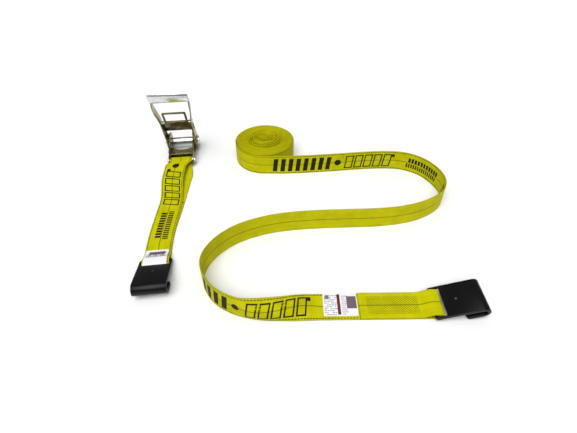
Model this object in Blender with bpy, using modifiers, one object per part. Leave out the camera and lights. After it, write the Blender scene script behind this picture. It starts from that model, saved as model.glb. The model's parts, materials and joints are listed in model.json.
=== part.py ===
"""Ratchet tie down: a ratchet with its short strap and flat hook, and a long strap with its own hook.

Everything is in metres with +Z up and the floor at z = 0. The ratchet's pieces are modelled in frames
whose X runs along the spindle, whose Z (called s) runs out from the spindle along the handle or the
frame, and whose Y (called n) is square to both.
"""

import math

import bmesh
import bpy
from mathutils import Matrix, Vector

# Layout on the floor, before the whole object is centred on the origin
LAYOUT_CENTRE = (0.1064, 0.6399)
SPINDLE_PLACE = (-0.272, 0.896)
RATCHET_YAW = math.radians(7.0)
FRAME_DROOP = math.radians(8.5)
HANDLE_FROM_FRAME = math.radians(72.0)
ROLL_PLACE = (-0.058, 0.859)
LONG_BAR_PLACE = (0.2435, 0.3778)
SHORT_BAR_HEADING = math.radians(8.5)

# Webbing
WEB_WIDTH = 0.050
WEB_THICK = 0.0022
GAP = 0.0003
ROLL_INNER = 0.017
ROLL_OUTER = 0.0706
LABEL_THICK = 0.0006

# Ratchet, across its width, measured from the middle
FRAME_INNER = 0.0270
PLATE_THICK = 0.0026
WHEEL_INNER = 0.0300
WHEEL_THICK = 0.0040
HANDLE_INNER = 0.0344
WASHER_INNER = 0.0374
WASHER_THICK = 0.0012
PIN_MIDDLE = 0.0402
SPINDLE_HALF_LENGTH = 0.0420
GRIP_HALF_LENGTH = 0.0425

# Ratchet, out from the spindle
FRAME_HUB_RADIUS = 0.024
FRAME_END_RADIUS = 0.0115
BOLT_DISTANCE = 0.074
HANDLE_HUB_RADIUS = 0.020
SPINDLE_RADIUS = 0.010
SPINDLE_SLOT = 0.005
TEETH = 20
TOOTH_TIP = 0.021
TOOTH_ROOT = 0.0174
PAWL_TIP = 0.0214
PAWL_THICK = 0.0025
PAWL_EAR_OUT = 0.0039
PAWL_IN = 0.0032
PAWL_OUT = 0.0060
BOLT_RADIUS = 0.0040
SLEEVE_RADIUS = 0.0060
EYE_RADIUS = 0.0074

# Flat hook
HOOK_WIDTH = 0.060
HOOK_LENGTH = 0.0885
HOOK_THICK = 0.005
HOOK_THROAT = 0.0135
HOOK_LIP_TIP = 0.0505
HOOK_CORNER = 0.006
HOOK_BAR = 0.0072
HOOK_SLOT_END = 0.0205
HOOK_SLOT_HALF = 0.0264
BAR_HEIGHT = 0.0070
BAR_EYE_RADIUS = 0.0057
BAR_EYE_SLACK = 0.0080
SHORT_HOOK_PITCH = math.radians(16.8)
LONG_HOOK_PITCH = math.radians(16.6)
LONG_END_ROLL = math.radians(5.0)
LONG_END_YAW = math.radians(0.8)
LONG_HOOK_YAW = math.radians(3.0)
TWIST_LENGTH = 0.145
TWIST_BOW = 0.0120

OVERLAP_LENGTH = 0.1245
LABEL_WIDTH = 0.043

# The short strap's middle line on the floor, from the anchor bolt to the hook's bar
SHORT_ROUTE = [
    (-0.2631, 0.8234), (-0.2614, 0.8095), (-0.2606, 0.793), (-0.2606, 0.765), (-0.2604, 0.735),
    (-0.2592, 0.700), (-0.2578, 0.660), (-0.2572, 0.620), (-0.2560, 0.580), (-0.2532, 0.545),
    (-0.2474, 0.500),
]

# The long strap's lower edge on the floor, from the roll to the start of its flat end
LONG_ROUTE = [
    (-0.058, 0.787), (0.000, 0.7875), (0.050, 0.791), (0.100, 0.796), (0.150, 0.802),
    (0.200, 0.807), (0.245, 0.808), (0.280, 0.801), (0.312, 0.780), (0.334, 0.745),
    (0.342, 0.708), (0.334, 0.674), (0.312, 0.647), (0.275, 0.624), (0.230, 0.609),
    (0.180, 0.6015), (0.120, 0.5985), (0.060, 0.5955), (0.000, 0.589), (-0.050, 0.577),
    (-0.097, 0.555), (-0.130, 0.526), (-0.149, 0.494), (-0.154, 0.464), (-0.1445, 0.4345),
    (-0.1235, 0.407), (-0.091, 0.3875), (-0.050, 0.3770), (0.000, 0.3735), (0.055, 0.3751),
]


def clear_scene():
    for obj in list(bpy.data.objects):
        bpy.data.objects.remove(obj)


def make_material(name, colour, roughness, metallic):
    material = bpy.data.materials.new(name)
    material.use_nodes = True
    shader = material.node_tree.nodes["Principled BSDF"]
    shader.inputs["Base Color"].default_value = (*colour, 1.0)
    shader.inputs["Roughness"].default_value = roughness
    shader.inputs["Metallic"].default_value = metallic
    return material


def make_collection(name, hidden=False):
    collection = bpy.data.collections.new(name)
    collection.hide_render = hidden
    bpy.context.scene.collection.children.link(collection)
    return collection


def make_empty(name, parent, matrix):
    empty = bpy.data.objects.new(name, None)
    empty.empty_display_size = 0.02
    PARTS.objects.link(empty)
    empty.parent = parent
    empty.matrix_local = matrix
    return empty


def add_part(name, mesh, parent, material):
    """An object in the parts' collection, on the empty that it belongs to."""
    obj = bpy.data.objects.new(name, mesh)
    PARTS.objects.link(obj)
    obj.parent = parent
    obj.data.materials.append(material)
    mesh.shade_smooth()
    mesh.set_sharp_from_angle(angle=math.radians(35))
    return obj


def arc(centre, radius, start, end, steps):
    """Points of an arc, from one angle to another in degrees."""
    points = []
    for i in range(steps + 1):
        angle = math.radians(start + (end - start) * i / steps)
        points.append((centre[0] + radius * math.cos(angle), centre[1] + radius * math.sin(angle)))
    return points


def circle(centre, radius, steps=32):
    return arc(centre, radius, 0, 360, steps)[:-1]


def rectangle(low, high):
    return [(low[0], low[1]), (high[0], low[1]), (high[0], high[1]), (low[0], high[1])]


def flat_mesh(name, loops, thickness, matrix):
    """A flat plate from an outline and its holes, made as a filled 2D curve and then moved by matrix."""
    curve = bpy.data.curves.new(name, "CURVE")
    curve.dimensions = "2D"
    curve.fill_mode = "BOTH"
    curve.extrude = thickness / 2
    for loop in loops:
        spline = curve.splines.new("POLY")
        spline.points.add(len(loop) - 1)
        for point, (across, along) in zip(spline.points, loop):
            point.co = (across, along, 0.0, 1.0)
        spline.use_cyclic_u = True
    guide = bpy.data.objects.new(name, curve)
    bpy.context.scene.collection.objects.link(guide)
    bpy.context.view_layer.update()
    graph = bpy.context.evaluated_depsgraph_get()
    mesh = bpy.data.meshes.new_from_object(guide.evaluated_get(graph))
    bpy.data.objects.remove(guide)
    bpy.data.curves.remove(curve)
    mesh.name = name
    mesh.transform(matrix)
    shape = bmesh.new()
    shape.from_mesh(mesh)
    bmesh.ops.remove_doubles(shape, verts=shape.verts, dist=1e-6)
    bmesh.ops.recalc_face_normals(shape, faces=shape.faces)
    shape.to_mesh(mesh)
    shape.free()
    return mesh


def side_plate(name, loops, middle, thickness):
    """A plate square to the spindle: its loops hold (n, s) points."""
    matrix = Matrix(((0, 0, 1, middle), (1, 0, 0, 0), (0, 1, 0, 0), (0, 0, 0, 1)))
    return flat_mesh(name, loops, thickness, matrix)


def cross_plate(name, loops, middle, thickness):
    """A plate that spans the ratchet's width: its loops hold (x, s) points."""
    matrix = Matrix(((1, 0, 0, 0), (0, 0, -1, middle), (0, 1, 0, 0), (0, 0, 0, 1)))
    return flat_mesh(name, loops, thickness, matrix)


def box_mesh(name, low, high):
    shape = bmesh.new()
    bmesh.ops.create_cube(shape, size=1.0)
    low, high = Vector(low), Vector(high)
    size = high - low
    bmesh.ops.scale(shape, vec=size, verts=shape.verts)
    bmesh.ops.translate(shape, vec=(low + high) / 2, verts=shape.verts)
    mesh = bpy.data.meshes.new(name)
    shape.to_mesh(mesh)
    shape.free()
    return mesh


def add_bevel(obj, width, segments, angle):
    bevel = obj.modifiers.new("rounded edges", "BEVEL")
    bevel.width = width
    bevel.segments = segments
    bevel.limit_method = "ANGLE"
    bevel.angle_limit = math.radians(angle)


def ribbon(name, rows, thickness, parent, material):
    """A strip of sheet through rows of points across it, given its thickness by Solidify."""
    points = [point for row in rows for point in row]
    count = len(rows[0])
    faces = []
    for i in range(len(rows) - 1):
        for j in range(count - 1):
            first = count * i + j
            faces.append((first, first + 1, first + count + 1, first + count))
    mesh = bpy.data.meshes.new(name)
    mesh.from_pydata([tuple(point) for point in points], [], faces)
    obj = add_part(name, mesh, parent, material)
    solid = obj.modifiers.new("thickness", "SOLIDIFY")
    solid.thickness = thickness
    solid.offset = 0.0
    solid.use_even_offset = True
    return obj


def coil_spring(name, centre, radius, wire, start, end, turns, parent, material):
    """A compression spring along s, as a poly curve with a round bevel."""
    points_a_turn = 10
    count = turns * points_a_turn
    curve = bpy.data.curves.new(name, "CURVE")
    curve.dimensions = "3D"
    curve.bevel_depth = wire / 2
    curve.bevel_resolution = 1
    curve.use_fill_caps = True
    spline = curve.splines.new("POLY")
    spline.points.add(count)
    for i, point in enumerate(spline.points):
        angle = math.tau * i / points_a_turn
        along = start + wire / 2 + (end - start - wire) * i / count
        x = centre[0] + radius * math.cos(angle)
        n = centre[1] + radius * math.sin(angle)
        point.co = (x, n, along, 1.0)
    obj = bpy.data.objects.new(name, curve)
    PARTS.objects.link(obj)
    obj.parent = parent
    obj.data.materials.append(material)
    return obj


def smooth_step(value, low, high):
    share = min(max((value - low) / (high - low), 0.0), 1.0)
    return share * share * (3 - 2 * share)


def smooth_route(points, spacing):
    """(place, heading) at even steps along a Catmull-Rom curve through the points."""
    ends = [Vector(p) for p in points]
    ends = [2 * ends[0] - ends[1]] + ends + [2 * ends[-1] - ends[-2]]
    fine = []
    for before, a, b, after in zip(ends, ends[1:], ends[2:], ends[3:]):
        for i in range(20):
            t = i / 20
            fine.append(
                0.5 * (2 * a + (b - before) * t + (2 * before - 5 * a + 4 * b - after) * t ** 2
                       + (3 * a - before - 3 * b + after) * t ** 3)
            )
    fine.append(ends[-2])
    reach = [0.0]
    for a, b in zip(fine, fine[1:]):
        reach.append(reach[-1] + (b - a).length)
    count = round(reach[-1] / spacing)
    route = []
    k = 0
    for i in range(count + 1):
        wanted = reach[-1] * i / count
        while k < len(fine) - 2 and reach[k + 1] < wanted:
            k += 1
        share = (wanted - reach[k]) / (reach[k + 1] - reach[k])
        place = fine[k].lerp(fine[k + 1], share)
        heading = (fine[k + 1] - fine[k]).normalized()
        route.append((place, heading, wanted))
    return route


# ---------------------------------------------------------------- ratchet frame

def frame_outline():
    """The frame plate's outline: a round end at the spindle, drawn in to a smaller one at the bolt."""
    hub = arc((0, 0), FRAME_HUB_RADIUS, 40, -220, 40)
    end = arc((0, BOLT_DISTANCE), FRAME_END_RADIUS, 180, 0, 16)
    return hub + [(-0.0125, 0.040)] + end + [(0.0125, 0.040)]


def build_frame(line, materials):
    slot_half = PAWL_THICK / 2 + 0.00035
    loops = [
        frame_outline(),
        circle((0, 0), SPINDLE_RADIUS + 0.0005),
        circle((0, BOLT_DISTANCE), BOLT_RADIUS + GAP, 24),
        rectangle((-slot_half, 0.0222), (slot_half, 0.0508)),
    ]
    middle = FRAME_INNER + PLATE_THICK / 2
    for name, side in (("frame_side_left", -1), ("frame_side_right", 1)):
        add_part(name, side_plate(name, loops, side * middle, PLATE_THICK), line, materials["zinc"])
    half = FRAME_INNER - GAP
    bridge = box_mesh("frame_bridge", (-half, -0.009, 0.0575), (half, 0.009, 0.0600))
    add_bevel(add_part("frame_bridge", bridge, line, materials["zinc"]), 0.0008, 2, 40)


def build_lock_pawl(line, materials):
    """The frame's pawl plate: concave towards the spindle, with an ear through each frame plate."""
    inner = WHEEL_INNER + GAP
    outer = WHEEL_INNER + WHEEL_THICK - 0.0001
    body = FRAME_INNER - GAP - 0.0001
    front = arc((0, -0.0040), 0.0380, 131, 49, 18)
    right = [
        (body, 0.0260), (inner, 0.0260), (inner, PAWL_TIP), (outer, PAWL_TIP),
        (outer, 0.0440), (body, 0.0440), (body, 0.0480),
    ]
    left = [(-x, s) for x, s in reversed(right)]
    mesh = cross_plate("lock_pawl", [front + right + left], 0.0, PAWL_THICK)
    add_bevel(add_part("lock_pawl", mesh, line, materials["zinc"]), 0.0004, 1, 60)
    for name, side in (("lock_pawl_spring_left", -1), ("lock_pawl_spring_right", 1)):
        coil_spring(name, (side * 0.014, 0.0), 0.0024, 0.0008, 0.0483, 0.0572, 5,
                    line, materials["steel"])


def turned(name, profile, parent, matrix, material, steps=24):
    """A turned piece: a profile of (radius, height) points, top to bottom, spun by a Screw modifier."""
    mesh = bpy.data.meshes.new(name)
    edges = [(i, i + 1) for i in range(len(profile) - 1)]
    if profile[0][0] > 0.0:
        edges.append((len(profile) - 1, 0))
    mesh.from_pydata([(radius, 0.0, height) for radius, height in profile], edges, [])
    obj = bpy.data.objects.new(name, mesh)
    PARTS.objects.link(obj)
    obj.parent = parent
    obj.matrix_local = matrix
    obj.data.materials.append(material)
    screw = obj.modifiers.new("turning", "SCREW")
    screw.steps = steps
    screw.render_steps = steps
    screw.use_merge_vertices = True
    screw.merge_threshold = 0.00001
    return obj


def build_anchor(line, materials):
    profile = [
        (0.0, 0.0348), (0.0034, 0.0348), (BOLT_RADIUS, 0.0342), (BOLT_RADIUS, -0.0299),
        (0.0066, -0.0299), (0.0066, -0.0313), (0.0055, -0.0325), (0.0036, -0.0331), (0.0, -0.0332),
    ]
    along_x = Matrix.Translation((0, 0, BOLT_DISTANCE)) @ Matrix.Rotation(math.radians(90), 4, "Y")
    turned("anchor_bolt", profile, line, along_x, materials["steel"])
    hexagon = circle((0, BOLT_DISTANCE), 0.0064, 6)
    bore = circle((0, BOLT_DISTANCE), BOLT_RADIUS + GAP, 24)
    nut = side_plate("anchor_nut", [hexagon, bore], 0.0316, 0.0034)
    add_part("anchor_nut", nut, line, materials["steel"])
    rings = [circle((0, BOLT_DISTANCE), SLEEVE_RADIUS), bore]
    sleeve = side_plate("anchor_sleeve", rings, 0.0, 2 * (FRAME_INNER - GAP))
    add_part("anchor_sleeve", sleeve, line, materials["steel"])


# ---------------------------------------------------------------- spindle

def half_disc(radius, flat, side):
    """A half-round outline, flat at n = flat, on the side of n given by 1 or -1."""
    lean = math.degrees(math.asin(flat / radius))
    points = arc((0, 0), radius, -90 + lean, 90 - lean, 20)
    return [(side * n, s) for n, s in points]


def wheel_outline(handle_turn):
    """Saw teeth: a radial face, a narrow tip and a slope, with a gap centred on the handle's line."""
    pitch = 360 / TEETH
    face = 90 + math.degrees(handle_turn) - 13.0
    points = []
    for i in range(TEETH):
        start = face + i * pitch
        for radius, angle in (
            (TOOTH_ROOT, start), (TOOTH_TIP, start), (TOOTH_TIP, start + 3.0), (TOOTH_ROOT, start + 8.0)
        ):
            turn = math.radians(angle)
            points.append((radius * math.cos(turn), radius * math.sin(turn)))
    return points


def build_spindle(line, handle_turn, materials):
    half_slot = SPINDLE_SLOT / 2
    length = 2 * SPINDLE_HALF_LENGTH
    for name, side in (("spindle_half_front", -1), ("spindle_half_rear", 1)):
        outline = half_disc(SPINDLE_RADIUS, half_slot, side)
        mesh = side_plate(name, [outline], 0.0, length)
        add_bevel(add_part(name, mesh, line, materials["bright"]), 0.0006, 2, 50)
    holes = [half_disc(SPINDLE_RADIUS + GAP, half_slot - GAP, side) for side in (-1, 1)]
    for name, side in (("left", -1), ("right", 1)):
        middle = side * (WHEEL_INNER + WHEEL_THICK / 2)
        loops = [wheel_outline(handle_turn)] + holes
        wheel = side_plate("ratchet_wheel_" + name, loops, middle, WHEEL_THICK)
        add_part("ratchet_wheel_" + name, wheel, line, materials["zinc"])
        middle = side * (WASHER_INNER + WASHER_THICK / 2)
        rings = [circle((0, 0), 0.0135), circle((0, 0), SPINDLE_RADIUS + GAP)]
        washer = side_plate("spindle_washer_" + name, rings, middle, WASHER_THICK)
        add_part("spindle_washer_" + name, washer, line, materials["steel"])
        profile = [(0.0, 0.0140), (0.0012, 0.0132), (0.0012, -0.0132), (0.0, -0.0140)]
        place = Matrix.Translation((side * PIN_MIDDLE, 0, 0))
        turned("cotter_pin_" + name, profile, line, place, materials["steel"])


# ---------------------------------------------------------------- handle

def handle_outline():
    """The handle plate's outline: a round hub, a straight shank and a tip held inside the grip."""
    hub = arc((0, 0), HANDLE_HUB_RADIUS, 35, -215, 36)
    front = [
        (-0.0115, 0.046), (-0.0105, 0.070), (-0.0100, 0.092), (-0.0098, 0.100), (-0.0096, 0.109),
        (-0.0094, 0.118), (-0.0092, 0.127), (-0.0090, 0.135), (-0.0084, 0.145), (-0.0070, 0.152),
        (-0.0013, 0.1580), (-0.0013, 0.170), (-0.0013, 0.179),
    ]
    rear = [
        (0.0015, 0.1800), (0.0035, 0.1760), (0.0055, 0.170), (0.0070, 0.164), (0.0082, 0.158),
        (0.0088, 0.152), (0.0090, 0.145), (0.0092, 0.135), (0.0094, 0.127), (0.0096, 0.118),
        (0.0098, 0.109), (0.0100, 0.100), (0.0100, 0.092), (0.0105, 0.070), (0.0115, 0.046),
    ]
    return hub + front + rear


def handle_flare(s):
    """How far a handle plate is bent outwards, at s from the spindle."""
    return 0.0050 * smooth_step(s, 0.088, 0.138)


def build_handle(line, materials):
    slot_half = PAWL_THICK / 2 + 0.00035
    loops = [
        handle_outline(),
        circle((0, 0), SPINDLE_RADIUS + 0.0005),
        rectangle((-slot_half, 0.0504), (slot_half, 0.0784)),
    ]
    for name, side in (("handle_side_left", -1), ("handle_side_right", 1)):
        middle = side * (HANDLE_INNER + PLATE_THICK / 2)
        mesh = side_plate(name, loops, middle, PLATE_THICK)
        for vertex in mesh.vertices:
            vertex.co.x += side * handle_flare(vertex.co.z)
        add_part(name, mesh, line, materials["zinc"])
    half = HANDLE_INNER - GAP
    bridge = box_mesh("handle_bridge", (-half, 0.0018, 0.0800), (half, 0.0054, 0.0825))
    add_bevel(add_part("handle_bridge", bridge, line, materials["zinc"]), 0.0008, 2, 40)
    section = [
        (-0.0025, 0.1610), (-0.0050, 0.1645), (-0.0066, 0.1695), (-0.0066, 0.1750), (-0.0050, 0.1800),
        (-0.0020, 0.1840), (0.0005, 0.1855), (0.0022, 0.1825),
    ]
    half = GRIP_HALF_LENGTH
    stations = [(Vector((-half, n, s)), Vector((half, n, s))) for n, s in section]
    grip = ribbon("handle_grip", stations, 0.0020, line, materials["bright"])
    add_bevel(grip, 0.0005, 1, 60)


def build_drive_pawl(line, materials):
    """The handle's pawl plate: two legs to the wheels, two guide ears and a finger loop to pull."""
    inner = WHEEL_INNER + GAP
    outer = WHEEL_INNER + WHEEL_THICK - 0.0001
    ear = 0.0390
    right = [
        (0.0260, 0.0505), (inner, 0.0495), (inner, PAWL_TIP), (outer, PAWL_TIP), (outer, 0.0536),
        (ear, 0.0540), (ear, 0.0720), (outer, 0.0724), (outer, 0.0765), (0.0275, 0.0800),
    ] + arc((0.0221, 0.1146), 0.0054, 0, 90, 6)
    left = [(-x, s) for x, s in reversed(right)]
    window = arc((0.0199, 0.1123), 0.0028, 0, 90, 4) + arc((-0.0199, 0.1123), 0.0028, 90, 180, 4)
    window += arc((-0.0199, 0.0887), 0.0028, 180, 270, 4) + arc((0.0199, 0.0887), 0.0028, 270, 360, 4)
    notch = rectangle((-0.0042, 0.0570), (0.0042, 0.0605))
    mesh = cross_plate("drive_pawl", [right + left, window, notch], 0.0, PAWL_THICK)
    pawl = add_part("drive_pawl", mesh, line, materials["zinc"])
    flange = box_mesh("drive_pawl_flange", (-0.0240, -0.0006, 0.0660), (0.0240, 0.0054, 0.0680))
    cutter = bpy.data.objects.new("drive_pawl_flange", flange)
    CUTTERS.objects.link(cutter)
    cutter.parent = line
    cutter.hide_render = True
    cutter.display_type = "WIRE"
    join = pawl.modifiers.new("flange", "BOOLEAN")
    join.operation = "UNION"
    join.object = cutter
    for name, side in (("drive_pawl_spring_left", -1), ("drive_pawl_spring_right", 1)):
        coil_spring(name, (side * 0.014, 0.0036), 0.0016, 0.0007, 0.0683, 0.0797, 6,
                    line, materials["steel"])


# ---------------------------------------------------------------- hooks

def hook_rows():
    """(half width, place on the middle surface) for each row, from the bar's edge to the lip's tip."""
    straight = HOOK_LENGTH - HOOK_THROAT / 2 - HOOK_THICK
    bend = (HOOK_THROAT + HOOK_THICK) / 2
    bend_length = math.pi * bend
    total = straight + bend_length + straight - HOOK_LIP_TIP
    corner = [0.0, 0.0008, 0.0022, 0.0040, HOOK_CORNER]
    lengths = corner + [HOOK_BAR, HOOK_SLOT_END, 0.030, 0.050, straight]
    lengths += [straight + bend_length * i / 10 for i in range(1, 11)]
    lengths += [total - back for back in reversed(corner)]
    rows = []
    for length in lengths:
        in_from_end = min(length, total - length, HOOK_CORNER)
        drop = HOOK_CORNER - in_from_end
        half = HOOK_WIDTH / 2 - HOOK_CORNER + math.sqrt(HOOK_CORNER ** 2 - drop ** 2)
        if length <= straight:
            place = (length, 0.0)
        elif length <= straight + bend_length + 1e-9:
            angle = (length - straight) / bend
            place = (straight + bend * math.sin(angle), bend * math.cos(angle) - bend)
        else:
            place = (2 * straight + bend_length - length, -2 * bend)
        rows.append((half, place))
    return rows


def build_hook(name, pivot, material):
    """A flat hook with its strap bar on the pivot: along +X from the bar, width along Y, lip below."""
    share = HOOK_SLOT_HALF / (HOOK_WIDTH / 2)
    columns = (-1.0, -share, share, 1.0)
    rows = hook_rows()
    points = [
        (place[0] - HOOK_BAR / 2, half * column, place[1]) for half, place in rows for column in columns
    ]
    faces = []
    for i in range(len(rows) - 1):
        for j in range(3):
            in_slot = j == 1 and abs(rows[i][1][0] - HOOK_BAR) < 1e-9 and rows[i][1][1] == 0.0
            if not in_slot:
                first = 4 * i + j
                faces.append((first, first + 4, first + 5, first + 1))
    mesh = bpy.data.meshes.new(name)
    mesh.from_pydata(points, [], faces)
    obj = add_part(name, mesh, pivot, material)
    solid = obj.modifiers.new("thickness", "SOLIDIFY")
    solid.thickness = HOOK_THICK
    solid.offset = 0.0
    solid.use_even_offset = True
    add_bevel(obj, 0.0014, 2, 50)


# ---------------------------------------------------------------- short strap

def eye_path(radius, centre_height, steps):
    """(along, height) round an eye, from its under side to its upper side."""
    return [(radius * math.cos(math.radians(a)), centre_height + radius * math.sin(math.radians(a)))
            for a in [-90 + 180 * i / steps for i in range(steps + 1)]]


def upper_shift(d):
    """How far the upper layer lies sideways, at d from the bolt."""
    return -0.010 * smooth_step(d, 0.011, 0.030) * (1 - smooth_step(d, 0.060, 0.150))


def lower_shift(d):
    """How far the lower layer lies sideways, at d from the bolt."""
    return 0.0065 * smooth_step(d, 0.012, 0.050) * (1 - smooth_step(d, 0.060, 0.285))


def short_strap_profile(length, bolt_height):
    """(distance from the bolt, height, sideways shift) of the webbing's middle, once round the strap."""
    low = WEB_THICK / 2 + 0.0001
    high = low + WEB_THICK + GAP
    join = 0.150
    steps = 18
    path = []
    for i in range(steps):
        d = join + (length - join) * i / steps
        drop = smooth_step(d, length - 0.024, length)
        path.append((d, low + (BAR_HEIGHT - BAR_EYE_RADIUS - low) * drop, lower_shift(d)))
    path.append((length, BAR_HEIGHT - BAR_EYE_RADIUS, 0.0))
    for along, height in eye_path(BAR_EYE_RADIUS, BAR_HEIGHT, 10):
        path.append((length + BAR_EYE_SLACK + along, height, 0.0))
    for i in range(40):
        d = length * (1 - i / 40)
        near_hook = (BAR_HEIGHT + BAR_EYE_RADIUS - high) * (1 - smooth_step(length - d, 0.0, 0.024))
        near_bolt = (bolt_height + EYE_RADIUS - high) * (1 - smooth_step(d, -0.012, 0.140))
        path.append((d, high + near_hook + near_bolt, upper_shift(d)))
    for along, height in reversed(eye_path(EYE_RADIUS, bolt_height, 10)):
        path.append((-along, height, 0.0))
    for i in range(1, 15):
        d = (join - 0.002) * i / 14
        height = low + (bolt_height - EYE_RADIUS - low) * (1 - smooth_step(d, 0.0, 0.075))
        path.append((d, height, lower_shift(d)))
    return path


def place_on_route(route, distance):
    """(place, heading) at a distance along a route, carried straight on past its ends."""
    total = route[-1][2]
    inside = min(max(distance, 0.0), total)
    k = min(int(inside / total * (len(route) - 1)), len(route) - 2)
    share = (inside - route[k][2]) / (route[k + 1][2] - route[k][2])
    place = route[k][0].lerp(route[k + 1][0], share)
    heading = route[k][1].lerp(route[k + 1][1], share).normalized()
    return place + heading * (distance - inside), heading


def short_station(route, distance, height, shift, near=-WEB_WIDTH / 2, far=WEB_WIDTH / 2):
    """The two edge points of the short strap at a distance from the bolt."""
    place, heading = place_on_route(route, distance)
    across = Vector((-heading.y, heading.x))
    one = place + across * (near + shift)
    other = place + across * (far + shift)
    return Vector((one.x, one.y, height)), Vector((other.x, other.y, height))


def build_short_strap(layout, bolt_height, materials):
    route = smooth_route(SHORT_ROUTE, 0.008)
    length = route[-1][2]
    path = short_strap_profile(length, bolt_height)
    stations = [short_station(route, d, height, shift) for d, height, shift in path]
    ribbon("short_strap", stations, WEB_THICK, layout, materials["webbing"])
    lift = WEB_THICK / 2 + 3 * GAP + LABEL_THICK / 2
    high = WEB_THICK * 1.5 + GAP + 0.0001
    near, far = 0.0028 - WEB_WIDTH / 2, WEB_WIDTH / 2 - 0.0042
    label = []
    for i in range(15):
        back = 0.029 * (1 - i / 14)
        rise = (BAR_HEIGHT + BAR_EYE_RADIUS - high) * (1 - smooth_step(back, 0.0, 0.024))
        label.append(short_station(route, length - back, high + rise + lift, 0.0, near, far))
    for i in range(7):
        turn = math.radians(15 * i)
        along = BAR_EYE_SLACK + (BAR_EYE_RADIUS + lift) * math.sin(turn)
        height = BAR_HEIGHT + (BAR_EYE_RADIUS + lift) * math.cos(turn)
        label.append(short_station(route, length + along, height, 0.0, near, far))
    ribbon("short_strap_label", label, LABEL_THICK, layout, materials["label"])
    place, heading = place_on_route(route, length)
    turn = math.atan2(heading.y, heading.x)
    return (Matrix.Translation((place.x, place.y, BAR_HEIGHT)) @ Matrix.Rotation(turn, 4, "Z")
            @ Matrix.Rotation(-SHORT_HOOK_PITCH, 4, "Y"))


# ---------------------------------------------------------------- long strap

def flat_end():
    """The frame of the long strap's flat end: X towards the hook, Y from its near edge to its far one."""
    place = Matrix.Translation((*LONG_BAR_PLACE, 0.0)) @ Matrix.Rotation(LONG_END_YAW, 4, "Z")
    return place @ Matrix.Rotation(LONG_END_ROLL, 4, "X")


def bowed_row(low, across, outward, share):
    """A row of points across the strap, bowed outwards by a share of the greatest bow."""
    width = WEB_WIDTH * (1 - 0.19 * share ** 2)
    row = []
    for i in range(5):
        t = i / 4
        row.append(low + across * (width * t) + outward * (4 * t * (1 - t) * TWIST_BOW * share))
    return row


def end_row(frame, along, height, near=0.0, far=WEB_WIDTH):
    return [frame @ Vector((along, near + (far - near) * i / 4, height)) for i in range(5)]


def build_long_strap(layout, materials):
    route = smooth_route(LONG_ROUTE, 0.016)
    length = route[-1][2]
    frame = flat_end()
    rows = []
    for place, heading, distance in route:
        twist = smooth_step(distance, length - TWIST_LENGTH, length)
        lean = math.radians(90) - (math.radians(90) - LONG_END_ROLL) * twist
        across = Vector((-heading.y * math.cos(lean), heading.x * math.cos(lean), math.sin(lean)))
        outward = Vector((heading.y * math.sin(lean), -heading.x * math.sin(lean), math.cos(lean)))
        low = Vector((place.x, place.y, WEB_THICK / 2 * math.cos(lean) + 0.0001))
        bow = math.sqrt(max(math.sin(math.pi * twist), 0.0))
        rows.append(bowed_row(low, across, outward, bow))
    middle = WEB_THICK / 2
    flat_start = LONG_ROUTE[-1][0] - LONG_BAR_PLACE[0]
    for i in range(1, 14):
        rows.append(end_row(frame, flat_start * (1 - i / 13), middle))
    for along, height in eye_path(BAR_EYE_RADIUS, BAR_HEIGHT, 10):
        rows.append(end_row(frame, BAR_EYE_SLACK + along, height))
    top = middle + WEB_THICK + GAP
    for i in range(25):
        back = OVERLAP_LENGTH * (i / 24) ** 1.3
        rise = (BAR_HEIGHT + BAR_EYE_RADIUS - top) * (1 - smooth_step(back, 0.0, 0.024))
        rows.append(end_row(frame, -back, top + rise))
    ribbon("long_strap_run", rows, WEB_THICK, layout, materials["webbing"])
    label_height = WEB_THICK + GAP + LABEL_THICK / 2
    label = [
        end_row(frame, flat_start + 0.004 + 0.058 * i / 6, label_height, 0.0065, 0.0065 + LABEL_WIDTH)
        for i in range(7)
    ]
    ribbon("long_strap_label", label, LABEL_THICK, layout, materials["label"])
    profile = [(ROLL_OUTER, WEB_WIDTH), (ROLL_OUTER, 0.0), (ROLL_INNER, 0.0), (ROLL_INNER, WEB_WIDTH)]
    place = Matrix.Translation((*ROLL_PLACE, 0.0))
    turned("long_strap_roll", profile, layout, place, materials["webbing"], 72)
    bar = Matrix.Translation((0, WEB_WIDTH / 2, BAR_HEIGHT)) @ Matrix.Rotation(LONG_HOOK_YAW, 4, "Z")
    return frame @ bar @ Matrix.Rotation(-LONG_HOOK_PITCH, 4, "Y")


# ---------------------------------------------------------------- the whole object

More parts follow.
